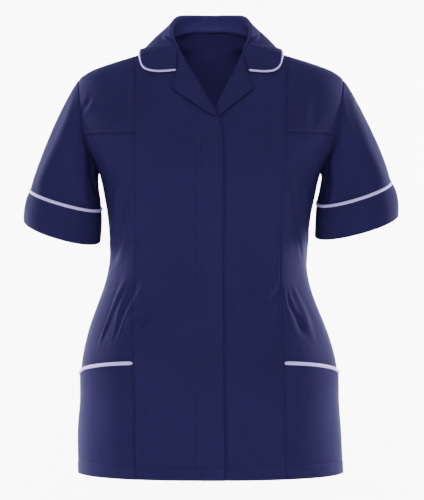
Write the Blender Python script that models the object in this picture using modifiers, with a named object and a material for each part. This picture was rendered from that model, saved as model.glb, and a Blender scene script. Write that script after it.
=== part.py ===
"""Nurse's tunic in navy twill with pale piping, filled out as worn, with no wearer.

Millimetres in the tables, metres in the meshes. The front faces -Y, up is +Z, and +X is the
wearer's left. The origin is at the middle of the neck, level with the neck ends of the shoulder
seams. Each cut piece is a thin cloth wall of its own, 0.3 mm or so from the next at its seams.
"""
import math
from collections import namedtuple

import bmesh
import bpy
from mathutils import Vector

MM = 0.001

# Cloth
WALL = 1.4                  # thickness of one cloth wall
SEAM = 0.3                  # gap between two pieces at a seam
SHOULDER_SEAM = 1.0         # the walls lean together on the shoulder ridge, so more room there
ARMHOLE_SEAM = 0.8          # gap between body and sleeve around the armhole
PANEL_SEAM = 0.7            # gap at the long curved seams, where the walls lean together

# Heights on the body
HEM = -683.0
UNDERARM = -205.0
CHEST_SEAM = -145.0
SHOULDER_TIP = -54.0
NECK_SIDE = 0.0
NECK_BACK = 30.0
V_POINT = -122.0

# Armhole, seen from the side
ARMHOLE_FRONT = 50.0        # how far the armhole reaches forward of its top and bottom
ARMHOLE_BACK = 46.0
ARMHOLE_ROUND = 0.7

ROUND = 0.87                # exponent of a body section: 1 is an ellipse, less is squarer

Section = namedtuple("Section", "z half_width shift front back")
TORSO = [
    Section(HEM, 210.8, -0.5, 128, 131),
    Section(-617, 209.6, -2.4, 126, 131),
    Section(-569, 206.0, -2.0, 124, 130),
    Section(-527, 206.0, -2.8, 122, 127),
    Section(-505, 203.6, -3.6, 120, 124),
    Section(-472, 196.0, -4.8, 116, 117),
    Section(-440, 185.5, -6.0, 112, 109),
    Section(-408, 173.0, -6.6, 108, 100),
    Section(-376, 162.5, -6.0, 105, 92),
    Section(-340, 157.4, -4.8, 104, 88),
    Section(-305, 160.0, -3.6, 107, 90),
    Section(-275, 162.5, -3.6, 113, 94),
    Section(-240, 169.0, -2.6, 122, 100),
    Section(UNDERARM, 176.5, -2.0, 124, 105),
    Section(-183, 187.0, -1.0, 122, 107),
    Section(CHEST_SEAM, 201.5, -0.5, 111, 109),
    Section(-110, 205.5, -1.0, 96, 108),
    Section(-75, 210.0, -0.5, 79, 104),
    Section(SHOULDER_TIP, 211.5, 0.0, 67, 100),
    Section(-47, 204.0, 0.0, 63, 98),
    Section(-38.5, 189.0, 0.0, 58, 96),
    Section(-29, 163.0, 0.0, 52, 93),
    Section(-19, 131.0, 0.0, 44, 90),
    Section(-10, 101.0, 0.0, 35, 87),
    Section(NECK_SIDE, 75.0, 0.0, 24, 84),
    Section(12, 71.0, 0.0, 20, 79),
    Section(NECK_BACK, 66.0, 0.0, 16, 70),
]

# Seams and edges across the front, by height. Right and left are the wearer's.
Edge = namedtuple("Edge", "z x")
RIGHT_FRONT_EDGE = [
    Edge(HEM, 22), Edge(-451, 19.5), Edge(-134, 18.5), Edge(V_POINT, 12), Edge(-106, 4),
    Edge(-87, -8), Edge(-44, -32), Edge(-12, -51), Edge(-5, -64), Edge(NECK_SIDE, -72),
]
LEFT_FRONT_EDGE = [
    Edge(HEM, -18), Edge(-150, -18), Edge(V_POINT, -4), Edge(-101, 9), Edge(-81, 20),
    Edge(-50, 36), Edge(-14, 56), Edge(-5, 66), Edge(NECK_SIDE, 72),
]
PRINCESS = [
    Edge(HEM, 116.5), Edge(-504, 117), Edge(-457, 117.5), Edge(-390, 114), Edge(-320, 112.5),
    Edge(-239, 116), Edge(CHEST_SEAM, 118), Edge(-80, 120), Edge(-37, 121), Edge(-16, 121),
]
BACK_NECK = [
    Edge(NECK_SIDE, 72), Edge(8, 69), Edge(16, 62), Edge(23, 51), Edge(28, 37), Edge(NECK_BACK, 25),
]

# Folds of the worn cloth: a soft trough (negative) or ridge along a line on the body, with turn
# in degrees around it from the centre front.
FOLD_RADIUS = 150.0         # mean radius of the body, by which turns are measured as widths
Fold = namedtuple("Fold", "turn0 z0 turn1 z1 width depth")
FOLDS = [
    Fold(-52, -232, -58, -318, 13, -4.5), Fold(-63, -215, -71, -330, 16, 3.5),
    Fold(50, -225, 56, -325, 14, -4.5), Fold(64, -220, 70, -320, 15, 3.0),
    Fold(-43, -388, -52, -470, 12, -4.0), Fold(-54, -385, -66, -475, 12, 3.5),
    Fold(42, -395, 52, -465, 13, -3.5), Fold(-24, -400, -33, -455, 12, -3.0),
    Fold(-15, -135, -27, -215, 13, 2.5), Fold(-20, -110, -26, -190, 13, -2.5),
    Fold(-22, -590, -20, -683, 16, -3.0), Fold(24, -560, 26, -683, 18, 2.5),
    Fold(126, -225, 118, -330, 16, -4.0), Fold(-126, -230, -116, -335, 16, -4.0),
    Fold(142, -330, 130, -430, 15, 3.0), Fold(-140, -325, -131, -425, 15, 3.0),
    Fold(150, -520, 148, -683, 22, -3.0), Fold(-154, -500, -150, -683, 22, -3.0),
]

# Grid counts
HEM_ROWS = 14               # from the hem to the underarm
ARMHOLE_ROWS = 12           # from the underarm to the shoulder tip
NECK_ROWS = 5               # from the shoulder tip to the neck


def read(table, z, field):
    """Value of one column at height z, on a smooth curve through the rows."""
    rows = table
    if z <= rows[0].z:
        return getattr(rows[0], field)
    if z >= rows[-1].z:
        return getattr(rows[-1], field)
    k = max(i for i in range(len(rows) - 1) if rows[i].z <= z)

    def slope(i):
        low, high = max(i - 1, 0), min(i + 1, len(rows) - 1)
        rise = getattr(rows[high], field) - getattr(rows[low], field)
        return rise / (rows[high].z - rows[low].z)

    span = rows[k + 1].z - rows[k].z
    t = (z - rows[k].z) / span
    a, b = getattr(rows[k], field), getattr(rows[k + 1], field)
    return ((2 * t ** 3 - 3 * t ** 2 + 1) * a + (t ** 3 - 2 * t ** 2 + t) * span * slope(k)
            + (3 * t ** 2 - 2 * t ** 3) * b + (t ** 3 - t ** 2) * span * slope(k + 1))


def smooth_step(t):
    t = min(max(t, 0.0), 1.0)
    return t * t * (3 - 2 * t)


def armhole_depth(z, reach):
    """How far forward or back of the side the armhole edge lies at height z."""
    if not UNDERARM < z < SHOULDER_TIP:
        return 0.0
    middle = (UNDERARM + SHOULDER_TIP) / 2
    half = (SHOULDER_TIP - UNDERARM) / 2
    return reach * (1 - ((z - middle) / half) ** 2) ** ARMHOLE_ROUND


def edge_turn(z, back=False):
    """Angle from the centre line to the side seam, armhole or shoulder seam, in degrees."""
    depth = read(TORSO, z, "back" if back else "front")
    edge = armhole_depth(z, ARMHOLE_BACK if back else ARMHOLE_FRONT)
    return math.degrees(math.acos((edge / depth) ** (1 / ROUND)))


def half_width(z, back=False):
    edge = math.sin(math.radians(edge_turn(z, back))) ** ROUND
    return read(TORSO, z, "half_width") / edge


def fold_height(turn, z):
    """Height of the folds at a place on the body."""
    total = 0.0
    for fold in FOLDS:
        start = Vector((math.radians(fold.turn0) * FOLD_RADIUS, fold.z0))
        along = Vector((math.radians(fold.turn1) * FOLD_RADIUS, fold.z1)) - start
        here = Vector((math.radians(turn) * FOLD_RADIUS, z)) - start
        t = here.dot(along) / along.length_squared
        off = (here - along * t).length
        if off < 3 * fold.width and -0.5 < t < 1.5:
            ends = smooth_step((t + 0.25) / 0.5) * smooth_step((1.25 - t) / 0.5)
            total += fold.depth * ends * math.exp(-(off / fold.width) ** 2)
    return total


def bare_body(z, turn):
    """Point on the outer face of the body cloth, before its folds."""
    turn = (turn + 180) % 360 - 180
    back = abs(turn) > 90
    angle = math.radians(turn)
    across = abs(math.sin(angle)) ** ROUND * math.copysign(half_width(z, back), turn)
    depth = read(TORSO, z, "back" if back else "front") * abs(math.cos(angle)) ** ROUND
    return Vector((read(TORSO, z, "shift") + across, depth if back else -depth, z))


def body_normal(z, turn):
    step = 1.0
    across = bare_body(z, turn + step) - bare_body(z, turn - step)
    up = bare_body(z + step, turn) - bare_body(z - step, turn)
    return across.cross(up).normalized()


def body(z, turn, out=0.0):
    """Point of the body cloth's outer face, moved out by some millimetres."""
    signed = (turn + 180) % 360 - 180
    return bare_body(z, turn) + body_normal(z, turn) * (out + fold_height(signed, z))


def turn_at(z, x):
    """Angle on the front at which the body cloth passes x."""
    across = x - read(TORSO, z, "shift")
    share = min(abs(across) / half_width(z), 1.0)
    return math.copysign(math.degrees(math.asin(share ** (1 / ROUND))), across)


def turn_moved(z, turn, distance):
    """The angle a few millimetres further round from turn."""
    step = 0.5
    speed = (bare_body(z, turn + step) - bare_body(z, turn - step)).length / (2 * step)
    return turn + distance / max(speed, 0.5)


def on_front(x, z, out=0.0):
    return body(z, turn_at(z, x), out)


def body_rows():
    """Heights of the grid rows: closer where the armhole turns under and over."""
    rows = [HEM + (UNDERARM - HEM) * i / HEM_ROWS for i in range(HEM_ROWS)]
    middle = (UNDERARM + SHOULDER_TIP) / 2
    half = (SHOULDER_TIP - UNDERARM) / 2
    rows += [middle - half * math.cos(math.pi * i / ARMHOLE_ROWS) for i in range(ARMHOLE_ROWS)]
    rows += [SHOULDER_TIP * (1 - i / NECK_ROWS) for i in range(NECK_ROWS + 1)]
    return rows


def rows_between(bottom, top, margin=4.0):
    inner = [z for z in body_rows() if bottom + margin < z < top - margin]
    return [bottom] + inner + [top]


def new_material(name, colour, roughness):
    material = bpy.data.materials.new(name)
    material.use_nodes = True
    shader = material.node_tree.nodes["Principled BSDF"]
    shader.inputs["Base Color"].default_value = (*colour, 1)
    shader.inputs["Roughness"].default_value = roughness
    shader.inputs["Metallic"].default_value = 0.0
    material.diffuse_color = (*colour, 1)
    return material


NAVY = (0.017, 0.018, 0.068)
LILAC = (0.497, 0.445, 0.730)


def keep(obj, colour=NAVY, roughness=0.85):
    obj.data.materials.append(new_material(obj.name + "_cloth", colour, roughness))
    garment.objects.link(obj)
    return obj


def cloth_panel(name, columns, rows, place, wall=WALL, closed=False):
    """A grid laid on the garment by place(column, row), given its wall inwards."""
    bm = bmesh.new()
    bmesh.ops.create_grid(bm, x_segments=columns, y_segments=rows, size=0.5)
    for vert in bm.verts:
        column = round((vert.co.x + 0.5) * columns)
        row = round((vert.co.y + 0.5) * rows)
        vert.co = place(column, row) * MM
    if closed:
        bmesh.ops.remove_doubles(bm, verts=bm.verts, dist=0.01 * MM)
    mesh = bpy.data.meshes.new(name)
    bm.to_mesh(mesh)
    bm.free()
    mesh.shade_smooth()
    obj = bpy.data.objects.new(name, mesh)
    thickness = obj.modifiers.new("wall", "SOLIDIFY")
    thickness.thickness = wall * MM
    thickness.offset = -1.0
    return keep(obj)


def piping(name, points, radius, cyclic=False):
    """A covered cord along some points."""
    curve = bpy.data.curves.new(name, "CURVE")
    curve.dimensions = "3D"
    spline = curve.splines.new("POLY")
    spline.points.add(len(points) - 1)
    for target, point in zip(spline.points, points):
        target.co = (*(point * MM), 1)
    spline.use_cyclic_u = cyclic
    curve.bevel_depth = radius * MM
    curve.bevel_resolution = 1
    curve.use_fill_caps = not cyclic
    return keep(bpy.data.objects.new(name, curve), LILAC, 0.7)


def between(a, b, t):
    return a + (b - a) * t


def through(points, t):
    """Point at share t of a smooth curve through evenly counted points."""
    last = len(points) - 1
    k = min(int(t * last), last - 1)
    f = t * last - k
    p1, p2 = points[k], points[k + 1]
    p0 = points[k - 1] if k else p1 * 2 - p2
    p3 = points[k + 2] if k + 2 <= last else p2 * 2 - p1
    return 0.5 * (2 * p1 + (p2 - p0) * f + (2 * p0 - 5 * p1 + 4 * p2 - p3) * f ** 2
                  + (3 * p1 - p0 - 3 * p2 + p3) * f ** 3)


def princess_turn(z, side):
    reach = min(read(PRINCESS, z, "x"), half_width(z) - 0.01)
    return turn_at(z, side * reach + read(TORSO, z, "shift"))


def outer_turn(z, side, back=False):
    """The panel's side edge, drawn back a little where it is a shoulder seam."""
    turn = edge_turn(z, back)
    gap = SHOULDER_SEAM / 2 if z > SHOULDER_TIP else SEAM / 2
    step = -gap if not back else gap
    if back:
        return side * turn_moved(z, 180 - turn, step)
    return side * turn_moved(z, turn, step)


# Front panels
FRONT_COLUMNS = 9
LEFT_FRONT_COLUMNS = 7
UNDERLAP_DROP = WALL + 3 * SEAM
UNDERLAP_MARGIN = 3.0       # how far past the upper layer's edge the under layer stays low
UNDERLAP_LAG = 20.0         # and how far it stays low above the slant of the V
UNDERLAP_RISE = 9.0         # width over which the under layer comes up level with the upper one
UNDERLAP_LOW = 0.2          # least share of the panel that lies low
UNDERLAP_HIGH = 0.35        # least share of the panel at which it has come up
NECK_END = -4.0             # the front's top row, short of the point where its edges meet


def front_side_turn(z, side):
    """The centre panel ends at the princess seam, or at the shoulder seam above it."""
    seam = princess_turn(z, side)
    ridge = outer_turn(z, side)
    inner = turn_moved(z, abs(seam), -PANEL_SEAM / 2) * side
    return inner if abs(inner) < abs(ridge) else ridge


def right_front():
    rows = rows_between(HEM, NECK_END)

    def place(column, row):
        z = rows[row]
        start = front_side_turn(z, -1)
        end = turn_at(z, read(RIGHT_FRONT_EDGE, z, "x"))
        return body(z, between(start, end, column / FRONT_COLUMNS))

    return cloth_panel("front_right", FRONT_COLUMNS, len(rows) - 1, place)


def left_front():
    rows = rows_between(HEM, NECK_END)

    def place(column, row):
        z = rows[row]
        edge = read(LEFT_FRONT_EDGE, z, "x")
        start = turn_at(z, edge)
        end = front_side_turn(z, 1)
        over = read(RIGHT_FRONT_EDGE, z - UNDERLAP_LAG, "x") + UNDERLAP_MARGIN
        low = max(turn_at(z, over), between(start, end, UNDERLAP_LOW))
        high = max(turn_at(z, over + UNDERLAP_RISE), between(start, end, UNDERLAP_HIGH))
        if column <= 2:
            turn = between(start, low, column / 2)
        else:
            turn = between(high, end, (column - 3) / (LEFT_FRONT_COLUMNS - 3))
        x = bare_body(z, turn).x
        drop = UNDERLAP_DROP * (1 - smooth_step((x - over) / UNDERLAP_RISE))
        return body(z, turn, -drop)

    return cloth_panel("front_left", LEFT_FRONT_COLUMNS, len(rows) - 1, place)


# Side fronts, above and below the chest seam
SIDE_COLUMNS = 7
SIDE_TOP = -22.0


def side_front(name, side, bottom, top):
    rows = rows_between(bottom, top)

    def place(column, row):
        z = rows[row]
        inner = side * turn_moved(z, abs(princess_turn(z, side)), PANEL_SEAM / 2)
        outer = outer_turn(z, side)
        ends = (inner, outer) if side > 0 else (outer, inner)
        return body(z, between(*ends, column / SIDE_COLUMNS))

    return cloth_panel(name, SIDE_COLUMNS, len(rows) - 1, place)


# Back, one panel
BACK_COLUMNS = 18


def back():
    rows = rows_between(HEM, NECK_BACK, 3.0)
    rows = rows[:-1] + [edge.z for edge in BACK_NECK[1:]]

    def place(column, row):
        z = rows[row]
        if z > NECK_SIDE:
            share = min(read(BACK_NECK, z, "x") / half_width(z, True), 1.0)
            turn = 180 - math.degrees(math.asin(share ** (1 / ROUND)))
        else:
            turn = outer_turn(z, 1, True)
        return body(z, between(turn, 360 - turn, column / BACK_COLUMNS))

    return cloth_panel("back", BACK_COLUMNS, len(rows) - 1, place)


# Hip pockets, on the side fronts, open at the top
POCKET_MOUTH_SEAM = -505.0  # height of the mouth at the princess seam
POCKET_MOUTH_SIDE = -529.0  # and at the side seam
POCKET_COLUMNS = 7
POCKET_ROWS = 9
POCKET_OUT = WALL + 2 * SEAM
POCKET_PIPING = 2.3
POCKET_GAPE = 2.0           # how far the mouth stands open in its middle
POCKET_SLANT = 0.35         # share of the mouth's fall that is even; the rest curves down
POCKET_CURVE = 2.2
SIDE_SEAM_TURN = 89.5       # where the pocket's side edge lies, just short of the side seam


def pocket_top(share):
    """Height of the mouth from the princess seam (0) to the side seam (1)."""
    fall = POCKET_SLANT * share + (1 - POCKET_SLANT) * share ** POCKET_CURVE
    return between(POCKET_MOUTH_SEAM, POCKET_MOUTH_SIDE, fall)


def pocket_turn(z, side, share):
    inner = turn_moved(z, abs(princess_turn(z, side)), 1.0)
    return side * between(inner, SIDE_SEAM_TURN, share)


def pocket(name, side):
    def place(column, row):
        share = column / POCKET_COLUMNS
        share = share if side > 0 else 1 - share
        z = between(HEM + 1, pocket_top(share), row / POCKET_ROWS)
        gape = POCKET_GAPE * math.sin(math.pi * share) * (row / POCKET_ROWS) ** 3
        return body(z, pocket_turn(z, side, share), POCKET_OUT + gape)

    return cloth_panel(name, POCKET_COLUMNS, POCKET_ROWS, place)


def pocket_piping(name, side):
    points = []
    for i in range(POCKET_COLUMNS * 2 + 1):
        share = i / (POCKET_COLUMNS * 2)
        z = pocket_top(share) + POCKET_PIPING + SEAM
        gape = POCKET_GAPE * math.sin(math.pi * share)
        out = POCKET_PIPING + SEAM + gape
        points.append(body(z, pocket_turn(z, side, between(0.01, 0.99, share)), out))
    return piping(name, points, POCKET_PIPING)


# Sleeves, cuffs and their piping. Each ring is seen from the front as a line from its outer to
# its inner end, with a depth front to back and a sag of its front edge.
Ring = namedtuple("Ring", "outer_x outer_z inner_x inner_z depth sag")
SLEEVE_RINGS = {
    -1: (Ring(288.6, -229, 178, -261, 48.8, 10), Ring(298.4, -275, 178.8, -309, 51.8, 14)),
    1: (Ring(287.6, -216, 171.6, -252, 48.8, 13), Ring(298.4, -266, 168.8, -301, 51.8, 14)),
}
CUFF_RINGS = {
    -1: (Ring(291, -232, 175.5, -264, 51, 10), Ring(299, -252, 175.5, -287, 53, 12),
         Ring(301, -279, 177, -313, 54, 14)),
    1: (Ring(290, -219, 169, -255, 51, 13), Ring(299, -240, 167, -279, 53, 14),
        Ring(301, -270, 166.5, -305, 54, 14)),
}
RING_ROUND = 0.95
CUFF_AT = 0.8               # share of the sleeve's length at which the cuff begins
SLEEVE_SIDES = 2 * ARMHOLE_ROWS
SLEEVE_ROWS = 10
CUFF_ROWS = 4
CUFF_PIPING = 2.0
HEAD_REACH = 22.0           # how far the sleeve head holds the direction it leaves the armhole in
CUFF_REACH = 45.0           # how far above the cuff the sleeve takes the cuff's direction
UNDERARM_REACH = 14.0       # the same two, where the sleeve is short, under the arm
HEAD_OUT, HEAD_SPREAD, HEAD_SPLAY = 0.25, 0.38, 0.42    # the direction's parts: out, up, and apart
SLEEVE_MIDDLE = (205, -125), (232, -245)    # x and z of the sleeve's middle at its top and at the cuff

Sleeve_fold = namedtuple("Sleeve_fold", "turn start end width depth")
SLEEVE_FOLDS = [
    Sleeve_fold(0.14, 0.1, 0.78, 0.035, 3.0), Sleeve_fold(0.24, 0.15, 0.75, 0.035, -3.0),
    Sleeve_fold(0.33, 0.25, 0.78, 0.03, 3.0), Sleeve_fold(0.68, 0.2, 0.75, 0.035, -3.0),
    Sleeve_fold(0.80, 0.15, 0.78, 0.04, 3.0),
]


def ring_point(ring, side, share):
    """Point on a ring: share 0 is its outer end, 0.25 its front, 0.5 its inner end."""
    outer = Vector((side * ring.outer_x, 0, ring.outer_z))
    inner = Vector((side * ring.inner_x, 0, ring.inner_z))
    angle = 2 * math.pi * share
    cos, sin = math.cos(angle), math.sin(angle)
    along = math.copysign(abs(cos) ** RING_ROUND, cos)
    aside = math.copysign(abs(sin) ** RING_ROUND, sin)
    middle = (outer + inner) / 2
    return middle + (outer - middle) * along + Vector((0, -ring.depth, -ring.sag)) * aside


def armhole_point(side, share):
    """Point of the armhole edge and the way the cloth runs on from it."""
    angle = 2 * math.pi * share
    middle = (UNDERARM + SHOULDER_TIP) / 2
    half = (SHOULDER_TIP - UNDERARM) / 2
    z = middle + half * math.cos(angle)
    back = share > 0.5
    turn = edge_turn(z, back)
    turn = side * (180 - turn if back else turn)
    return bare_body(z, turn), body_normal(z, turn)


def armhole_start(side, share):
    """First ring of the sleeve, beside the armhole edge, clear of the body's wall."""
    step = 0.002
    here, normal = armhole_point(side, share)
    ahead = armhole_point(side, share + step)[0]
    behind = armhole_point(side, share - step)[0]
    leave = -side * (ahead - behind).cross(normal).normalized()
    return here + leave * ARMHOLE_SEAM + normal * 2 * SEAM


def head_direction(side, share):
    top = math.cos(math.pi * share) ** 2
    return Vector((side * (HEAD_OUT + HEAD_SPREAD * top), -HEAD_SPLAY * math.sin(2 * math.pi * share),
                   -1.0 + HEAD_SPREAD * top)).normalized()


def sleeve_point(side, share, t):
    start = armhole_start(side, share)
    first, last = SLEEVE_RINGS[side]
    top = ring_point(first, side, share)
    bottom = ring_point(last, side, share)
    if t > CUFF_AT:
        return between(top, bottom, (t - CUFF_AT) / (1 - CUFF_AT))
    f = t / CUFF_AT
    upper = math.cos(math.pi * share) ** 2
    control_1 = start + head_direction(side, share) * between(UNDERARM_REACH, HEAD_REACH, upper)
    control_2 = top - (bottom - top).normalized() * between(UNDERARM_REACH, CUFF_REACH, upper)
    point = (start * (1 - f) ** 3 + control_1 * 3 * f * (1 - f) ** 2
             + control_2 * 3 * f * f * (1 - f) + top * f ** 3)
    centre = between(*[Vector((side * x, 0, z)) for x, z in SLEEVE_MIDDLE], f)
    outwards = point - centre
    outwards.z = 0
    lift = 0.0
    for fold in SLEEVE_FOLDS:
        away = (share - fold.turn + 0.5) % 1 - 0.5
        fade = smooth_step((t - fold.start) / 0.2) * smooth_step((fold.end - t) / 0.2)
        lift += fold.depth * fade * math.exp(-(away / fold.width) ** 2)
    return point + outwards.normalized() * lift


def sleeve(name, side):
    def place(column, row):
        share = (column % SLEEVE_SIDES) / SLEEVE_SIDES
        share = share if side < 0 else (1 - share) % 1
        return sleeve_point(side, share, 1 - row / SLEEVE_ROWS)

    return cloth_panel(name, SLEEVE_SIDES, SLEEVE_ROWS, place, closed=True)


def cuff_point(side, share, t):
    rings = CUFF_RINGS[side]
    return through([ring_point(ring, side, share) for ring in rings], t)


def cuff(name, side):
    def place(column, row):
        share = (column % SLEEVE_SIDES) / SLEEVE_SIDES
        share = share if side < 0 else (1 - share) % 1
        return cuff_point(side, share, 1 - row / CUFF_ROWS)

    return cloth_panel(name, SLEEVE_SIDES, CUFF_ROWS, place, closed=True)


def cuff_piping(name, side):
    points = []
    for i in range(SLEEVE_SIDES):
        share = i / SLEEVE_SIDES
        edge = cuff_point(side, share, 0)
        down = (cuff_point(side, share, 0.1) - edge).normalized()
        across = cuff_point(side, share + 0.01, 0) - cuff_point(side, share - 0.01, 0)
        away = side * across.cross(down).normalized()
        points.append(edge - down * (CUFF_PIPING + SEAM + 0.2) + away * 0.75 * CUFF_PIPING)
    return piping(name, points, CUFF_PIPING, cyclic=True)


# Lapels, turned back from the roll line. x is towards the lapel's own side.
Lapel_row = namedtuple("Lapel_row", "roll_x roll_z edge_x edge_z")
LAPEL = {
    -1: [Lapel_row(-11, -119, -13, -123), Lapel_row(-1, -103, 6, -115),
         Lapel_row(12, -80, 32, -97), Lapel_row(26, -55, 62, -73),
         Lapel_row(38, -36, 57, -59), Lapel_row(49.5, -14, 53.5, -46)],
    1: [Lapel_row(15, -92, 19, -112), Lapel_row(20, -82, 29, -107),
        Lapel_row(27, -68, 45, -93), Lapel_row(35, -52, 65, -76),
        Lapel_row(42, -37, 61, -62), Lapel_row(50.5, -15, 57, -47)],
}
LAPEL_COLUMNS = 5
LAPEL_ROWS = 10
LAPEL_OUT = WALL + 0.5       # clear of the panel below, which is flatter between its rows
LAPEL_PUFF = 3.0


def lapel(name, side):
    rows = LAPEL[side]

    def place(column, row):
        along = row / LAPEL_ROWS
        share = column / LAPEL_COLUMNS
        share = share if side > 0 else 1 - share
        last = len(rows) - 1
        k = min(int(along * last), last - 1)
        f = along * last - k
        low, high = rows[k], rows[k + 1]
        x = between(between(low.roll_x, high.roll_x, f), between(low.edge_x, high.edge_x, f), share)
        z = between(between(low.roll_z, high.roll_z, f), between(low.edge_z, high.edge_z, f), share)
        puff = LAPEL_PUFF * math.sin(math.pi * min(share * 1.25, 1.0) * 0.8)
        lift = LAPEL_OUT + puff * smooth_step(along * 4)
        return on_front(side * x, z, lift)

    return cloth_panel(name, LAPEL_COLUMNS, LAPEL_ROWS, place)


# Collar: stand inside, roll, and fall over the shoulders, from the back middle to each notch
Collar_row = namedtuple("Collar_row", "seam roll edge")
COLLAR = [
    Collar_row(Vector((0, 69.5, 31.5)), Vector((0, 71, 57)), Vector((0, 92, 4))),
    Collar_row(Vector((27, 67, 31)), Vector((31, 67, 57)), Vector((40, 89, 4))),
    Collar_row(Vector((50, 53, 25)), Vector((53, 52, 54)), Vector((74, 74, 2))),
    Collar_row(Vector((64, 38, 17)), Vector((62, 34, 43)), Vector((97, 46, -2))),
    Collar_row(Vector((68.5, 14, 9)), Vector((64.5, 13, 29)), Vector((108, 10, -6))),
    Collar_row(Vector((65, -11, 5)), Vector((61, -11, 11)), Vector((111, -24, -18))),
    Collar_row(Vector((55, -33, -8)), Vector((52, -36, -9)), Vector((111, -47, -31))),
]
NOTCH_X = {-1: 55.0, 1: 59.5}
COLLAR_SPANS = 18           # from the back middle to each end
FALL_COLUMNS = 5
ROLL = 2.6                  # radius of the roll
COLLAR_PIPING = 1.7
COLLAR_OUT = 6.0            # the fall's upper face stands at least this far off the body
COLLAR_CROWN = 4.0          # rise of the fall between its roll and its edge
GORGE_OUT, CORNER_OUT = 6.6, 4.2        # how far off the body its front end lies, and its corner


def clear_of_body(point, out):
    """The point, brought out to lie at least this far off the body cloth."""
    back = point.y > 0
    if point.z > NECK_SIDE - 1 or abs(point.x) > half_width(point.z, back) - 1:
        return point
    turn = abs(turn_at(point.z, point.x)) * math.copysign(1, point.x)
    if back:
        share = min(abs(point.x) / half_width(point.z, True), 1.0)
        turn = 180 - math.degrees(math.asin(share ** (1 / ROUND)))
        turn = math.copysign(turn, point.x)
    floor = body(point.z, turn, out)
    if abs(point.y) < abs(floor.y):
        return floor
    return point


def collar_row(w):
    side = 1 if w >= 0 else -1
    t = abs(w)
    row = []
    for field in ("seam", "roll", "edge"):
        point = through([getattr(entry, field) for entry in COLLAR], t)
        row.append(Vector((side * point.x, point.y, point.z)))
    return row


def collar_end(side, share):
    """The front end of the fall: down the gorge seam to the notch, then out along the edge."""
    notch = NOTCH_X[side]
    path = [(53, -10.5), (55, -28), (notch, -45), (notch + 20, -46.5), (97, -45), (107, -39)]
    last = len(path) - 1
    k = min(int(share * last), last - 1)
    f = share * last - k
    x = between(path[k][0], path[k + 1][0], f)
    z = between(path[k][1], path[k + 1][1], f)
    return on_front(side * x, z, between(GORGE_OUT, CORNER_OUT, share))


def collar_point(w, column):
    """Columns 0 and 1 are the stand, 2 the roll, and the rest the fall."""
    side = 1 if w >= 0 else -1
    seam, roll, edge = collar_row(w)
    outwards = Vector((edge.x - roll.x, edge.y - roll.y, 0)).normalized()
    if column < 2:
        top = roll - outwards * ROLL - Vector((0, 0, ROLL))
        return between(seam, top, column) if column else seam
    if column == 2:
        return roll
    share = (column - 3) / FALL_COLUMNS
    top = roll + outwards * ROLL - Vector((0, 0, ROLL))
    straight = between(top, edge, share)
    rise = (outwards + Vector((0, 0, 0.8))).normalized()
    crown = rise * COLLAR_CROWN * math.sin(math.pi * share)
    return clear_of_body(straight + crown, COLLAR_OUT)


def collar():
    columns = FALL_COLUMNS + 3
    rows = COLLAR_SPANS * 2

    def place(column, row):
        w = 1 - row / COLLAR_SPANS
        if row in (0, rows) and column >= 3:
            return collar_end(1 if w > 0 else -1, (column - 3) / FALL_COLUMNS)
        return collar_point(w, column)

    return cloth_panel("collar", columns, rows, place)


def collar_piping():
    clear = COLLAR_PIPING + 2 * SEAM
    runs = []
    for side in (-1, 1):
        run = []
        for share in (0.42, 0.6, 0.8):
            edge = collar_end(side, share)
            run.append(edge + Vector((0, -0.3, -clear)))
        corner = collar_end(side, 1)
        run.append(corner + Vector((side * 0.8, -0.3, -0.8)) * clear)
        for i in range(1, COLLAR_SPANS):
            w = side * (1 - i / COLLAR_SPANS)
            edge = collar_point(w, FALL_COLUMNS + 3)
            away = (edge - collar_point(w, FALL_COLUMNS + 2)).normalized()
            run.append(clear_of_body(edge + away * clear, COLLAR_PIPING + 1.5))
        runs.append(run)
    middle = collar_point(0, FALL_COLUMNS + 3) + Vector((0, 0.5, -clear))
    return piping("collar_piping", runs[0] + [middle] + runs[1][::-1], COLLAR_PIPING)


for old in list(bpy.data.objects):
    bpy.data.objects.remove(old)
garment = bpy.data.collections.new("nurse_tunic")
bpy.context.scene.collection.children.link(garment)

back()
right_front()
left_front()
for side_name, side in (("right", -1), ("left", 1)):
    side_front("side_front_%s_upper" % side_name, side, CHEST_SEAM + PANEL_SEAM / 2, SIDE_TOP)
    side_front("side_front_%s" % side_name, side, HEM, CHEST_SEAM - PANEL_SEAM / 2)
    pocket("pocket_" + side_name, side)
    pocket_piping("pocket_piping_" + side_name, side)
    sleeve("sleeve_" + side_name, side)
    cuff("cuff_" + side_name, side)
    cuff_piping("cuff_piping_" + side_name, side)
    lapel("lapel_" + side_name, side)
collar()
collar_piping()
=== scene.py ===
"""Looks of the nurse's tunic: fine cloth shells, seams, stitching, piping, studio and camera."""
import math
from collections import namedtuple

import bmesh
import bpy
import numpy as np
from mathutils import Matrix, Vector


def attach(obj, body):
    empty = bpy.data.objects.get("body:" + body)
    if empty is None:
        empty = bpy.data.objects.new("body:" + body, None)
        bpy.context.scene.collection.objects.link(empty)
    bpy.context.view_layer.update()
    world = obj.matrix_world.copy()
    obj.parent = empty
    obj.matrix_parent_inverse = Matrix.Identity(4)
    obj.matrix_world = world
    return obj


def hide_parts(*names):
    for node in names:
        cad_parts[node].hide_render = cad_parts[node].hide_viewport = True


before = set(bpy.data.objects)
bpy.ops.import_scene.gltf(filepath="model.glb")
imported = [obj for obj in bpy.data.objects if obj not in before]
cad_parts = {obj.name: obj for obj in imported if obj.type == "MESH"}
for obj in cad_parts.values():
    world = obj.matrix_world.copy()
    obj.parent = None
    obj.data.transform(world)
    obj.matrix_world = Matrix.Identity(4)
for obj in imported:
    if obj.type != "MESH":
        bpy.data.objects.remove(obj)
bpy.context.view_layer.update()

# The body of the tunic. It is cut in panels from one navy poly-cotton twill, and hangs filled
# out from the shoulders. All its panels lie on one form, given here by its sections in mm, and
# take their drag lines and soft folds from one list of creases.
MM = 0.001
WALL = 1.1
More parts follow.
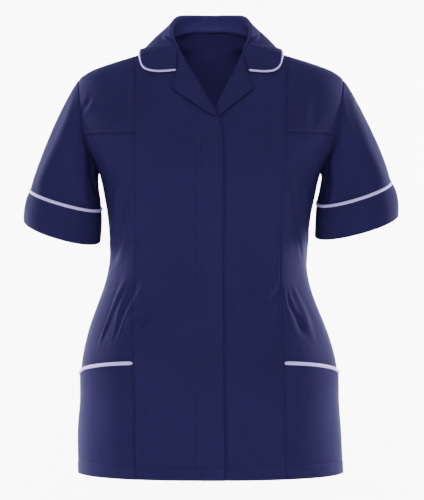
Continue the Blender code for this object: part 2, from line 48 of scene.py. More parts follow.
HEM, UNDERARM, CHEST_SEAM, SHOULDER_TIP, NECK_SIDE, NECK_BACK = -683.0, -205.0, -145.0, -54.0, 0.0, 30.0
ARMHOLE_FRONT, ARMHOLE_BACK, ARMHOLE_ROUND = 50.0, 46.0, 0.7
ARMHOLE_MIDDLE = (UNDERARM + SHOULDER_TIP) / 2
ARMHOLE_HALF = (SHOULDER_TIP - UNDERARM) / 2
ROUND = 0.87                # exponent of a section: 1 is an ellipse, less is squarer

Section = namedtuple("Section", "z half_width shift front back")
TORSO = [
    Section(HEM, 210.8, -0.5, 128, 131),
    Section(-617, 209.6, -2.4, 126, 131),
    Section(-569, 206.0, -2.0, 124, 130),
    Section(-527, 206.0, -2.8, 122, 127),
    Section(-505, 203.6, -3.6, 120, 124),
    Section(-472, 196.0, -4.8, 116, 117),
    Section(-440, 185.5, -6.0, 112, 109),
    Section(-408, 173.0, -6.6, 108, 100),
    Section(-376, 162.5, -6.0, 105, 92),
    Section(-340, 157.4, -4.8, 104, 88),
    Section(-305, 160.0, -3.6, 107, 90),
    Section(-275, 162.5, -3.6, 113, 94),
    Section(-240, 169.0, -2.6, 120, 100),
    Section(UNDERARM, 176.5, -2.0, 124, 105),
    Section(-183, 187.0, -1.0, 122, 107),
    Section(CHEST_SEAM, 201.5, -0.5, 111, 109),
    Section(-110, 205.5, -1.0, 96, 108),
    Section(-75, 210.0, -0.5, 79, 104),
    Section(SHOULDER_TIP, 211.5, 0.0, 67, 100),
    Section(-47, 204.0, 0.0, 63, 98),
    Section(-38.5, 189.0, 0.0, 58, 96),
    Section(-29, 163.0, 0.0, 52, 93),
    Section(-19, 131.0, 0.0, 44, 90),
    Section(-10, 101.0, 0.0, 35, 87),
    Section(NECK_SIDE, 75.0, 0.0, 24, 84),
    Section(12, 71.0, 0.0, 20, 79),
    Section(NECK_BACK, 66.0, 0.0, 16, 70),
]

# A crease runs from one place to another on the front or back, seen flat from that side, with
# x towards the wearer's left. A negative depth is a trough.
Crease = namedtuple("Crease", "x0 z0 x1 z1 width depth")
FRONT_CREASES = [
    Crease(-99, -160, -84, -76, 6.0, -1.5), Crease(-91, -168, -56, -94, 6.5, -1.8),
    Crease(-83, -176, -35, -120, 7.0, -1.7), Crease(-77, -184, -24, -153, 7.0, -1.3),
    Crease(-104, -150, -108, -92, 5.0, -1.0), Crease(-121, -222, -151, -338, 9.0, -4.2),
    Crease(-146, -225, -160, -330, 9.0, 2.6), Crease(-105, -240, -118, -320, 9.0, 1.6),
    Crease(-119, -378, -150, -458, 6.5, -3.4), Crease(-137, -378, -173, -466, 7.5, 2.4),
    Crease(-90, -420, -115, -454, 6.0, -2.4), Crease(-101, -405, -133, -447, 6.0, 1.6),
    Crease(-106, -566, -95, -676, 9.0, -2.2), Crease(-84, -560, -76, -676, 12.0, 1.6),
    Crease(-190, -86, -204, -112, 4.5, -1.4), Crease(-184, -96, -201, -124, 4.5, 1.1),
    Crease(-201, -150, -172, -188, 5.0, -1.8), Crease(-198, -165, -166, -206, 5.5, 1.5),
    Crease(107, -100, 111, -152, 5.0, 1.3), Crease(151, -86, 143, -142, 6.0, 1.2),
    Crease(131, -80, 128, -140, 7.0, -1.2), Crease(199, -150, 176, -192, 5.5, -1.6),
    Crease(124, -222, 141, -330, 9.0, -3.6), Crease(147, -226, 158, -330, 9.0, 2.4),
    Crease(118, -396, 143, -456, 6.0, -2.8), Crease(133, -390, 160, -462, 7.0, 2.0),
    Crease(111, -386, 94, -408, 5.5, -1.8), Crease(60, -560, 66, -676, 13.0, 1.4),
    Crease(34, -330, 42, -440, 12.0, -1.0), Crease(-40, -320, -46, -430, 12.0, 1.0),
]
BACK_CREASES = [
    Crease(121, -225, 140, -335, 9.0, -3.4), Crease(-123, -222, -143, -330, 9.0, -3.6),
    Crease(146, -232, 156, -330, 9.0, 2.2), Crease(-147, -230, -157, -326, 9.0, 2.2),
    Crease(-58, -322, 38, -332, 8.0, -1.8), Crease(-34, -346, 66, -352, 8.5, -1.6),
    Crease(-48, -334, 52, -342, 7.0, 1.4), Crease(96, -150, 78, -240, 13.0, 1.8),
    Crease(-100, -146, -80, -236, 13.0, 1.8), Crease(176, -120, 150, -190, 7.0, -1.8),
    Crease(-174, -124, -152, -192, 7.0, -1.6), Crease(120, -380, 152, -460, 7.0, -2.4),
    Crease(-117, -384, -148, -456, 7.0, -2.2), Crease(96, -520, 106, -676, 14.0, -2.0),
    Crease(-88, -540, -98, -676, 15.0, -2.2), Crease(40, -560, 44, -676, 14.0, 1.5),
]


def hermite(z, values, at):
    """A smooth curve through (z, values), read at many heights."""
    z, values = np.asarray(z, float), np.asarray(values, float)
    slope = np.gradient(values, z, edge_order=1)
    slope[1:-1] = (values[2:] - values[:-2]) / (z[2:] - z[:-2])
    at = np.clip(at, z[0], z[-1])
    k = np.clip(np.searchsorted(z, at, side="right") - 1, 0, len(z) - 2)
    span = z[k + 1] - z[k]
    t = (at - z[k]) / span
    return ((2 * t ** 3 - 3 * t ** 2 + 1) * values[k] + (t ** 3 - 2 * t ** 2 + t) * span * slope[k]
            + (3 * t ** 2 - 2 * t ** 3) * values[k + 1] + (t ** 3 - t ** 2) * span * slope[k + 1])


def read(table, field, at):
    """A table's column at many heights, with its bends eased a little below the shoulders."""
    z, values = [row[0] for row in table], [getattr(row, field) for row in table]
    ease = 14.0 * np.clip((-62.0 - np.asarray(at, float)) / 40.0, 0, 1)
    return sum(hermite(z, values, at + ease * shift) * share
               for shift, share in ((-1, 0.2), (-0.5, 0.2), (0, 0.2), (0.5, 0.2), (1, 0.2)))


def smooth_step(t):
    t = np.clip(t, 0.0, 1.0)
    return t * t * (3 - 2 * t)


def blend(a, b, t):
    return a + (b - a) * t


def dip(distance, width, depth):
    """A rounded groove of some width about distance 0."""
    return -depth * np.exp(-(distance / width) ** 2)


def edge_turn(z, back):
    """Angle from the centre line to the side seam, armhole or shoulder seam, in degrees."""
    depth = np.where(back, read(TORSO, "back", z), read(TORSO, "front", z))
    u = np.clip((z - ARMHOLE_MIDDLE) / ARMHOLE_HALF, -1, 1)
    edge = np.where(back, ARMHOLE_BACK, ARMHOLE_FRONT) * (1 - u * u) ** ARMHOLE_ROUND
    return np.degrees(np.arccos((edge / depth) ** (1 / ROUND)))


def half_width(z, back):
    return read(TORSO, "half_width", z) / np.sin(np.radians(edge_turn(z, back))) ** ROUND


def bare_body(z, turn):
    """Points of the cloth's outer face without creases. Turn is 0 at the centre front."""
    turn = (turn + 180) % 360 - 180
    back = np.abs(turn) > 90
    angle = np.radians(turn)
    across = np.abs(np.sin(angle)) ** ROUND * half_width(z, back) * np.sign(turn)
    depth = np.where(back, read(TORSO, "back", z), -read(TORSO, "front", z))
    y = depth * np.abs(np.cos(angle)) ** ROUND
    return np.stack([read(TORSO, "shift", z) + across, y, z * np.ones_like(y)], axis=-1)


def unit(v):
    return v / np.maximum(np.linalg.norm(v, axis=-1, keepdims=True), 1e-9)


def body_normal(z, turn, step=1.0):
    across = bare_body(z, turn + step) - bare_body(z, turn - step)
    up = bare_body(z + step, turn) - bare_body(z - step, turn)
    return unit(np.cross(across, up))


def turn_at(z, x, back=False):
    """Angle at which the cloth passes x."""
    across = x - read(TORSO, "shift", z)
    share = np.clip(np.abs(across) / half_width(z, back), 0, 1)
    turn = np.degrees(np.arcsin(share ** (1 / ROUND)))
    return np.where(back, 180 - turn, turn) * np.where(across < 0, -1, 1)


def turn_moved(z, turn, distance):
    """The angle some millimetres further round."""
    step = 0.5
    gap = bare_body(z, turn + step) - bare_body(z, turn - step)
    return turn + distance / np.maximum(np.linalg.norm(gap, axis=-1) / (2 * step), 0.5)


ARC = 150.0                 # mean radius by which creases measure round the body


def crease_height(z, turn):
    """Height of the creases and of the cloth's slight unevenness."""
    front_arc, back_arc = np.radians((turn + 180) % 360 - 180) * ARC, np.radians(turn % 360) * ARC
    arc = front_arc
    total = 0.5 * np.sin(arc / 31 + z / 83) * np.sin(z / 57 - arc / 77)
    total = total + 0.3 * np.sin(arc / 13 - z / 49 + 1) * np.sin(z / 33 + arc / 41)
    for number, crease in enumerate(FRONT_CREASES + BACK_CREASES):
        back = number >= len(FRONT_CREASES)
        ends = []
        arc = back_arc if back else front_arc
        for x, height in ((crease.x0, crease.z0), (crease.x1, crease.z1)):
            height = np.array([float(height)])
            angle = turn_at(height, np.array([float(x)]), back)[0]
            angle = angle % 360 if back else angle
            ends.append(np.array([math.radians(angle) * ARC, height[0]]))
        along = ends[1] - ends[0]
        length = np.linalg.norm(along)
        along = along / length
        px, pz = arc - ends[0][0], z - ends[0][1]
        t = (px * along[0] + pz * along[1]) / length
        bow = 0.045 * length * math.sin(number * 2.4)
        off = px * along[1] - pz * along[0] + bow * 4 * (t - 0.5) ** 2
        off = off + 1.2 * np.sin(t * 7 + number * 1.7)
        width = crease.width * (0.75 + 0.4 * np.sin(t * 2.6 + number))
        ends_fade = smooth_step((t + 0.22) / 0.45) * smooth_step((1.22 - t) / 0.45)
        strength = crease.depth * ends_fade * (0.85 + 0.15 * np.sin(t * 9 + number * 2.1))
        total = total + strength * np.exp(-(off / width) ** 2)
        total = total - 0.38 * strength * np.exp(-((np.abs(off) - 1.9 * width) / width) ** 2)
    return total


def body(z, turn, out=0.0):
    """Points of the creased cloth's outer face, moved out by some millimetres."""
    lift = out + crease_height(z, turn)
    return bare_body(z, turn) + body_normal(z, turn) * np.expand_dims(lift, -1)


def on_front(x, z, out=0.0):
    return body(z, turn_at(z, x), out)


def stations(length, step, start=(), end=()):
    """Places from 0 to 1 along a length, even but for the finer ones asked for at its ends."""
    low = start[-1] if start else 0.0
    high = length - (end[-1] if end else 0.0)
    count = max(int(round((high - low) / step)), 1)
    even = list(np.linspace(low, high, count + 1))
    fine = [d for d in start[:-1]] + even + [length - d for d in reversed(end[:-1])]
    return np.array(fine) / length


SEAM_STEPS = (0.0, 0.5, 1.1, 1.8, 2.6, 3.6, 4.6, 5.6, 7.0, 9.0, 12.0)


def cut(name, across, up, place, size, wall=WALL, closed=False):
    """A piece of cloth: a grid put in place by place(across, up), with its cut size in mm as
    its UV map, and a wall inwards. Returns the object and the area of its outer face."""
    columns, rows = len(across) - 1, len(up) - 1
    bm = bmesh.new()
    uv = bm.loops.layers.uv.new("cut")
    bmesh.ops.create_grid(bm, x_segments=columns, y_segments=rows, size=0.5, calc_uvs=True)
    flat = np.array([tuple(v.co) for v in bm.verts])
    i = np.rint((flat[:, 0] + 0.5) * columns).astype(int)
    j = np.rint((flat[:, 1] + 0.5) * rows).astype(int)
    points = place(across[i], up[j]) * MM
    for vert, point in zip(bm.verts, points):
        vert.co = point
    for face in bm.faces:
        for loop in face.loops:
            u, v = loop[uv].uv
            loop[uv].uv = (across[round(u * columns)] * size[0] * MM, up[round(v * rows)] * size[1] * MM)
    if closed:
        bmesh.ops.remove_doubles(bm, verts=bm.verts, dist=0.02 * MM)
    area = sum(face.calc_area() for face in bm.faces)
    mesh = bpy.data.meshes.new(name)
    bm.to_mesh(mesh)
    bm.free()
    mesh.shade_smooth()
    piece = bpy.data.objects.new(name, mesh)
    bpy.context.scene.collection.objects.link(piece)
    thickness = piece.modifiers.new("wall", "SOLIDIFY")
    thickness.thickness = wall * MM
    thickness.offset = -1.0
    return piece, area


# The cloth's finish: a fine twill, dyed navy, slightly uneven in the dye, matt with a faint
# bloom. Its ribs run on a diagonal, about 0.9 mm apart, and show in colour and in relief.
class Wire:
    """A shader socket that takes part in plain arithmetic."""

    def __init__(self, sheet, socket):
        self.sheet, self.socket = sheet, socket

    def math(self, operation, *others):
        return self.sheet.node("ShaderNodeMath", {"operation": operation}, [self, *others])

    def __add__(self, other): return self.math("ADD", other)
    def __radd__(self, other): return self.math("ADD", other)
    def __sub__(self, other): return self.math("SUBTRACT", other)
    def __rsub__(self, other): return self.math("MULTIPLY", -1.0) + other
    def __mul__(self, other): return self.math("MULTIPLY", other)
    def __rmul__(self, other): return self.math("MULTIPLY", other)
    def __truediv__(self, other): return self.math("DIVIDE", other)


class Finish:
    """A material being made: node() adds a node and gives its first output."""

    def __init__(self, name, roughness):
        self.material = bpy.data.materials.new(name)
        self.material.use_nodes = True
        self.tree = self.material.node_tree
        self.shader = self.tree.nodes["Principled BSDF"]
        self.shader.inputs["Roughness"].default_value = roughness

    def node(self, kind, settings, sockets, output=0):
        made = self.tree.nodes.new(kind)
        for key, value in settings.items():
            setattr(made, key, value)
        pairs = sockets.items() if isinstance(sockets, dict) else enumerate(sockets)
        for key, value in pairs:
            self.join(value, made.inputs[key])
        return Wire(self, made.outputs[output])

    def join(self, value, socket):
        if isinstance(value, Wire):
            self.tree.links.new(value.socket, socket)
        else:
            socket.default_value = value

    def feed(self, name, value):
        self.join(value, self.shader.inputs[name])

    def mix(self, share, a, b):
        settings = {"data_type": "RGBA"}
        return self.node("ShaderNodeMix", settings, {0: share, 6: a, 7: b}, output=2)

    def noise(self, where, scale, detail=3.0):
        return self.node("ShaderNodeTexNoise", {}, {"Vector": where, "Scale": scale, "Detail": detail})

    def cut_place(self):
        """The place on the piece's cut, in metres, whole and as its two parts."""
        place = self.node("ShaderNodeUVMap", {"uv_map": "cut"}, [])
        parts = self.node("ShaderNodeSeparateXYZ", {}, [place]).socket.node.outputs
        return place, Wire(self, parts[0]), Wire(self, parts[1])

    def bump(self, strength, relief):
        sockets = {"Strength": strength, "Distance": 1.0, "Height": relief}
        self.feed("Normal", self.node("ShaderNodeBump", {}, sockets))


def threads(run):
    """Rises from 0 to 1 and falls back over each whole number of a run."""
    return run.math("FRACT").math("PINGPONG", 0.5) * 2.0


def shades(dye, low, high):
    """A darker and a lighter shade of a dye."""
    return (*[c * low for c in dye], 1), (*[c * high for c in dye], 1)


TWILL_PITCH = 0.0009        # metres from rib to rib
NAVY = (0.0150, 0.0113, 0.0575)


def twill():
    finish = Finish("navy_twill", 0.82)
    place, u, v = finish.cut_place()
    slub = finish.noise(place, 900.0, 2.0)
    rib = threads((u + v * 1.35) / TWILL_PITCH + slub * 0.6)
    pick = threads((u - v * 0.4) / (TWILL_PITCH * 1.3))
    weave = rib * 0.75 + pick * 0.25
    cloud = finish.noise(place, 9.0, 3.0)
    fleck = finish.noise(place, 420.0, 2.0)
    shade = weave * 0.30 + cloud * 0.45 + fleck * 0.25
    finish.feed("Base Color", finish.mix(shade, *shades(NAVY, 0.66, 1.36)))
    finish.feed("Roughness", 0.74 + cloud * 0.1 + fleck * 0.06)
    puckers = finish.noise(place, 55.0, 3.0)
    finish.bump(0.55, weave * 0.00009 + puckers * 0.0011)
    finish.shader.inputs["Specular IOR Level"].default_value = 0.05
    return finish.material


navy_twill = twill()


def sew_in(piece, node, material):
    """Gives a piece its material and lets it stand for its solid."""
    piece.data.materials.append(material)
    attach(piece, "root")
    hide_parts(node)


def panel(name, node, across, up, place, size, closed=False):
    """A cut piece of the navy cloth, whose flat size is in mm."""
    piece, area = cut(name, across, up, place, size, closed=closed)
    sew_in(piece, node, navy_twill)
    width, length = size[0] * MM, size[1] * MM
    min(area, width * length)


# The centre fronts. Each runs from the neck to the hem between the front edge and the princess
# seam. The wearer's right one laps over the left, and a line of stitching holds the concealed
# placket behind it. The hem is turned up and stitched all round.
Edge = namedtuple("Edge", "z x")
RIGHT_FRONT_EDGE = [
    Edge(HEM, 22), Edge(-451, 19.5), Edge(-134, 18.5), Edge(-122, 12), Edge(-106, 4),
    Edge(-87, -8), Edge(-44, -32), Edge(-12, -51), Edge(-5, -64), Edge(NECK_SIDE, -72),
]
LEFT_FRONT_EDGE = [
    Edge(HEM, -18), Edge(-150, -18), Edge(-122, -4), Edge(-101, 9), Edge(-81, 20),
    Edge(-50, 36), Edge(-14, 56), Edge(-5, 66), Edge(NECK_SIDE, 72),
]
PRINCESS = [
    Edge(HEM, 116.5), Edge(-504, 117), Edge(-457, 117.5), Edge(-390, 114), Edge(-320, 112.5),
    Edge(-239, 116), Edge(CHEST_SEAM, 118), Edge(-80, 120), Edge(-37, 121), Edge(-16, 121),
]
FRONT_TOP = -0.4
TUCK = 5.0                  # how far a panel runs on under its neighbour's edge
UNDER = 1.5                 # how far below its neighbour it lies there
PRINCESS_STITCH = 4.6       # from the seam to its line of topstitching
PLACKET_STITCH = -18.0      # x of the line that holds the placket
PLACKET_TOP = -152.0
HEM_STITCH = 21.0           # from the hem's fold to its line of stitching
UNDERLAP_DROP = 2.2
HEM_STEPS = (0.0, 0.4, 1.0, 2.0, 5.0, 9.0, 14.0, 18.0, 19.5, 20.3, 21.0, 21.7, 22.5, 24.0)


def heights(low, high, step=4.0):
    length = high - low
    return low + length * stations(length, step, HEM_STEPS if low == HEM else (0.0, 1.0, 2.0))


def hem_relief(z):
    """The doubled hem: a little thicker, with its stitching pulled in."""
    double = 0.5 * smooth_step((HEM + HEM_STITCH + 1 - z) / 1.6)
    return double + dip(z - HEM - HEM_STITCH, 1.1, 0.75) - 0.5 * smooth_step((HEM + 1.2 - z) / 1.2)


def princess_turn(z, side):
    reach = np.minimum(read(PRINCESS, "x", z), half_width(z, False) - 0.01)
    return turn_at(z, side * reach + read(TORSO, "shift", z))


def front_end_turn(z, side):
    """Where a centre front ends: at the princess seam, or at the shoulder seam above it."""
    seam, ridge = np.abs(princess_turn(z, side)), edge_turn(z, False)
    return side * np.minimum(seam, ridge)


def princess_relief(distance):
    """The lapped edge of a centre front, by distance from the seam."""
    return (-0.7 * smooth_step(1 - distance / 1.2) + dip(distance - PRINCESS_STITCH, 1.0, 0.7)
            + 0.35 * smooth_step(1 - np.abs(distance - 2.6) / 2.4))


FRONT_SIZE = (150.0, 700.0)
FRONT_WIDTH = FRONT_SIZE[0] * 0.93      # its mean width, by which distances are told
rows = np.concatenate([heights(HEM, -24.0), np.linspace(-23.3, FRONT_TOP, 34)])


def place_right_front(s, t):
    z = HEM + (FRONT_TOP - HEM) * t
    start = front_end_turn(z, -1)
    end = turn_at(z, read(RIGHT_FRONT_EDGE, "x", z))
    distance = s * FRONT_WIDTH
    turn = blend(start, end, s)
    x = bare_body(z, turn)[:, 0]
    fold = (1 - s) * FRONT_WIDTH
    out = princess_relief(distance) + hem_relief(z)
    out += np.where(z < -125, -0.9 * smooth_step(1 - fold / 1.6), 0)
    out += dip(x - PLACKET_STITCH, 1.1, 0.9) * smooth_step((PLACKET_TOP - z) / 6)
    out += 0.9 * smooth_step((x - PLACKET_STITCH) / 5) * smooth_step((-128 - z) / 25)
    return body(z, turn, out)


across = stations(FRONT_SIZE[0], 2.6, SEAM_STEPS, (0.0, 0.5, 1.1, 1.8, 2.6, 4.0))
up = (rows - HEM) / (FRONT_TOP - HEM)
panel("centre_front_right", "front_right", across, up, place_right_front, FRONT_SIZE)


def place_left_front(s, t):
    z = HEM + (FRONT_TOP - HEM) * t
    start = turn_at(z, read(LEFT_FRONT_EDGE, "x", z))
    end = front_end_turn(z, 1)
    turn = blend(start, end, s)
    x = bare_body(z, turn)[:, 0]
    over = read(RIGHT_FRONT_EDGE, "x", z - 10) + 1.0
    out = princess_relief((1 - s) * FRONT_WIDTH) + hem_relief(z)
    out -= UNDERLAP_DROP * (1 - smooth_step((x - over) / 8))
    return body(z, turn, out)


across = stations(FRONT_SIZE[0], 2.2, (0.0, 1.0), SEAM_STEPS)
panel("centre_front_left", "front_left", across, up, place_left_front, FRONT_SIZE)

# The side fronts. The chest seam divides each of them, and its upper part laps over the lower.
# Both run under the lapped edge of the centre front, and meet the back in a plain seam.
SIDES = ((-1, "right"), (1, "left"))
SIDE_TOP = -15.4
PLAIN_SEAM = 1.6            # width over which two panels roll down into a plain seam
CHEST_STITCH = 4.6          # from the chest seam up to its line of topstitching
SIDE_STEPS = (0.0, 0.5, 1.0, 1.6, 2.4)


def seam_roll(distance, depth=1.3):
    return -depth * smooth_step(1 - distance / PLAIN_SEAM)


def side_front(name, node, side, low, high, width, relief):
    size = (width, high - low)

    def place(s, t):
        z = low + (high - low) * t
        s = s if side > 0 else 1 - s
        outer = edge_turn(z, False)
        seam = np.minimum(np.abs(princess_turn(z, side)), outer - 0.05)
        inner = np.minimum(turn_moved(z, seam, -TUCK), outer - 0.05)
        turn = blend(inner, outer, s)
        gap = np.linalg.norm(bare_body(z, side * turn) - bare_body(z, side * seam), axis=-1)
        distance = np.where(turn > seam, gap, -gap)
        edge = np.linalg.norm(bare_body(z, side * turn) - bare_body(z, side * outer), axis=-1)
        out = -UNDER * (1 - smooth_step((distance + 0.8) / 4.2)) + seam_roll(edge) + relief(z)
        return body(z, side * turn, out)

    across = stations(width, 3.0, (0.0, 2.0, 4.0, 5.0, 5.8, 6.6, 7.6, 8.8, 10.0), SIDE_STEPS)
    if side < 0:
        across = 1 - across[::-1]
    rows = stations(size[1], 4.0, HEM_STEPS if low == HEM else (0.0, 0.5, 1.0, 1.6, 2.4, 4.0),
                    (0.0, 0.4, 0.8, 1.2, 1.7, 2.3, 3.0, 4.0, 5.0, 6.0, 7.0))
    panel(name, node, across, rows, place, size)


def lapped_over(z):
    return seam_roll(z - CHEST_SEAM, 0.8) + dip(z - CHEST_SEAM - CHEST_STITCH, 1.0, 0.5)


def lapped_under(z):
    return hem_relief(z) - UNDER * smooth_step((z - CHEST_SEAM + 3.5) / 4.2)


for side, hand in SIDES:
    side_front(f"side_front_upper_{hand}", f"side_front_{hand}_upper", side,
               CHEST_SEAM, SIDE_TOP, 121.0, lapped_over)
    side_front(f"side_front_lower_{hand}", f"side_front_{hand}", side,
               HEM, CHEST_SEAM + 4.0, 175.0, lapped_under)

# The back, one piece with two long waist darts, whose sewn lines fade out at both ends.
Dart = namedtuple("Dart", "x low high")
BACK_DARTS = [Dart(-64, -455, -215), Dart(64, -455, -215)]
BACK_NECK = [
    Edge(NECK_SIDE, 72), Edge(8, 69), Edge(16, 62), Edge(23, 51), Edge(28, 37), Edge(NECK_BACK, 25),
]
BACK_SIZE = (555.0, 715.0)


def place_back(s, t):
    z = HEM + (NECK_BACK - HEM) * t
    reach = np.clip(read(BACK_NECK, "x", z) / half_width(z, True), 0, 1)
    neck = np.degrees(np.arcsin(reach ** (1 / ROUND)))
    half = np.where(z > NECK_SIDE, neck, edge_turn(z, True))
    start, end = 180 - half, 180 + half
    turn = blend(start, end, s)
    bare = bare_body(z, turn)
    edge = np.linalg.norm(bare - bare_body(z, np.where(s < 0.5, start, end)), axis=-1)
    out = np.where(z > NECK_SIDE, 0, seam_roll(edge)) + hem_relief(z)
    for dart in BACK_DARTS:
        strength = smooth_step((z - dart.low) / 50) * smooth_step((dart.high - z) / 50)
        out += dip(bare[:, 0] - dart.x, 1.3, 1.1) * strength
        out += dip(bare[:, 0] - dart.x, 9.0, 1.2) * strength
    return body(z, turn, out)


across = stations(BACK_SIZE[0], 3.2, SIDE_STEPS, SIDE_STEPS)
rows = stations(NECK_BACK - HEM, 4.0, HEM_STEPS, (0.0, 1.0, 2.0, 4.0))
panel("back_panel", "back", across, rows, place_back, BACK_SIZE)

# The hip pockets. Each lies on the side front from the princess seam to the side seam, with its
# mouth slanting down to the side, and gapes a little. Lilac piping lies along its mouth.
LILAC = (0.470, 0.395, 0.840)
POCKET_MOUTH_SEAM, POCKET_MOUTH_SIDE = -505.0, -529.0
POCKET_OUT = 1.5
POCKET_GAPE = 2.0
POCKET_SIZE = (146.0, 185.0)
POCKET_PIPING = 2.4
POCKET_LOW = HEM + 0.6
POCKET_STITCH = 19.0        # from the mouth down to its line of stitching
POCKET_STEPS = (0.0, 0.6, 1.4, 2.4, 3.6, 5.0)
BIAS_PITCH = 0.0006         # metres between the threads of the piping's strip, which lie aslant


def pocket_top(share):
    return blend(POCKET_MOUTH_SEAM, POCKET_MOUTH_SIDE, 0.35 * share + 0.65 * share ** 2.2)


def pocket_turn(side, share, z):
    """Angle at a share of the pocket's width, from its princess seam to its side seam."""
    return side * blend(turn_moved(z, np.abs(princess_turn(z, side)), 0.4), 90.0, share)


def pocket_place(side, share, z, height, lift=0.0):
    """Points of a pocket: share 0 is its princess seam, and height 1 its mouth."""
    near = np.minimum(share, 1 - share) * POCKET_SIZE[0]
    gape = POCKET_GAPE * np.sin(math.pi * share) * height ** 3
    settle = smooth_step(near / 5.0)
    out = (POCKET_OUT + 0.9 + lift) * settle - 0.9 + gape + hem_relief(z)
    return body(z, pocket_turn(side, share, z), out)


CORD_SIDES = 10


def cord(name, path, up, radii, closed=False):
    """A soft piping: an oval tube along a path, given at each point its upward direction."""
    count = len(path)
    forward = np.gradient(path, axis=0) if not closed else np.roll(path, -1, 0) - np.roll(path, 1, 0)
    forward = unit(forward)
    side_way = unit(np.cross(forward, up))
    up = np.cross(side_way, forward)
    if closed:
        path, up, side_way = [np.vstack([a, a[:1]]) for a in (path, up, side_way)]
        count += 1
    length = np.linalg.norm(np.diff(path, axis=0), axis=1).sum()

    def place(s, t):
        k = np.rint(t * (count - 1)).astype(int)
        angle = -2 * math.pi * s
        end = np.ones(len(k))
        if not closed:
            far = np.minimum(k, count - 1 - k)
            end = np.where(far == 0, 0.55, np.where(far == 1, 0.9, 1.0))
        return (path[k] + up[k] * (radii[0] * np.cos(angle) * end)[:, None]
                + side_way[k] * (radii[1] * np.sin(angle) * end)[:, None])

    girth = math.pi * (radii[0] + radii[1])
    around, along = np.linspace(0, 1, CORD_SIDES + 1), np.linspace(0, 1, count)
    return cut(name, around, along, place, (girth, length), wall=0.4, closed=True)[0]


def piping_finish():
    finish = Finish("lilac_piping", 0.62)
    place, u, v = finish.cut_place()
    warp, weft = threads((u + v) / BIAS_PITCH), threads((u - v) / BIAS_PITCH)
    pull = finish.noise(place, 160.0, 3.0)
    shade = (warp + weft) * 0.25 + pull * 0.5
    finish.feed("Base Color", finish.mix(shade, *shades(LILAC, 0.86, 1.1)))
    finish.bump(0.6, (warp + weft) * 0.00004 + pull * 0.0005)
    return finish.material


lilac = piping_finish()
for side, hand in SIDES:
    def place_pocket(s, t):
        share = s if side > 0 else 1 - s
        roll = -0.7 * smooth_step(1 - (1 - t) * POCKET_SIZE[1] / 1.4)
        ridge = dip((1 - t) * POCKET_SIZE[1] - POCKET_STITCH, 1.1, 0.6)
        return pocket_place(side, share, blend(POCKET_LOW, pocket_top(share), t), t, roll + ridge)

    across = stations(POCKET_SIZE[0], 3.0, POCKET_STEPS, POCKET_STEPS)
    rows = stations(POCKET_SIZE[1], 3.6, HEM_STEPS, (0.0, 0.5, 1.0, 1.6, 2.6))
    panel(f"pocket_patch_{hand}", f"pocket_{hand}", across, rows, place_pocket, POCKET_SIZE)

    share = np.linspace(0.005, 0.995, 61)
    mouth = pocket_top(share)
    turn = pocket_turn(side, share, mouth)
    gape = POCKET_GAPE * np.sin(math.pi * share)
    settle = smooth_step(np.minimum(share, 1 - share) * POCKET_SIZE[0] / 5.0)
    path = body(mouth + POCKET_PIPING * 0.75, turn, blend(0.2, 1.4, settle) + gape)
    piece = cord(f"pocket_mouth_piping_{hand}", path, np.tile((0.0, 0.0, 1.0), (len(path), 1)),
                 (POCKET_PIPING, 1.5))
    sew_in(piece, f"pocket_piping_{hand}", lilac)

# The sleeves, set in under the armhole edges, and their cuffs: a turned-up band outside the
# sleeve's end, with piping along its upper edge. A ring is seen from the front as a line from its
# outer to its inner end, with a depth from front to back and a sag of its front edge.
Ring = namedtuple("Ring", "outer_x outer_z inner_x inner_z depth sag")
SLEEVE_RINGS = {
    -1: (Ring(289.8, -229, 176.8, -261, 49.9, 10), Ring(299.0, -275, 178.4, -309, 52.6, 14)),
    1: (Ring(288.8, -216, 170.4, -252, 49.9, 13), Ring(299.0, -266, 168.0, -301, 52.6, 14)),
}
CUFF_RINGS = {
    -1: (Ring(291, -232, 175.5, -264, 51, 10), Ring(299, -252, 175.5, -287, 53, 12),
         Ring(301, -279, 177, -313, 54, 14)),
    1: (Ring(290, -219, 169, -255, 51, 13), Ring(299, -240, 167, -279, 53, 14),
        Ring(301, -270, 166.5, -305, 54, 14)),
}
RING_ROUND = 0.95
CUFF_AT = 0.8               # share of the sleeve's length at which the cuff begins
HEAD_REACH, CUFF_REACH, UNDERARM_REACH = 22.0, 45.0, 14.0
HEAD_OUT, HEAD_SPREAD, HEAD_SPLAY = 0.25, 0.38, 0.42    # the head's direction: out, up, and apart
SLEEVE_SIZE, CUFF_SIZE = (352.0, 215.0), (368.0, 62.0)
CUFF_PIPING = 2.1

# turn goes round the sleeve from its outer side by the front; start and end go down it
Drape = namedtuple("Drape", "turn0 turn1 start end width depth")
SLEEVE_DRAPES = {
    -1: [Drape(0.14, 0.13, 0.10, 0.78, 0.030, 2.6), Drape(0.22, 0.24, 0.10, 0.78, 0.030, -3.2),
         Drape(0.30, 0.36, 0.06, 0.72, 0.022, 2.8), Drape(0.37, 0.43, 0.03, 0.55, 0.018, -3.0),
         Drape(0.66, 0.68, 0.20, 0.75, 0.035, -3.0), Drape(0.80, 0.80, 0.15, 0.78, 0.040, 3.0)],
    1: [Drape(0.12, 0.12, 0.12, 0.78, 0.035, 2.4), Drape(0.25, 0.26, 0.15, 0.80, 0.026, -3.0),
        Drape(0.33, 0.37, 0.06, 0.82, 0.022, 4.2), Drape(0.40, 0.44, 0.03, 0.70, 0.018, -3.6),
        Drape(0.68, 0.66, 0.20, 0.75, 0.035, -3.0), Drape(0.79, 0.81, 0.15, 0.78, 0.040, 2.6)],
}


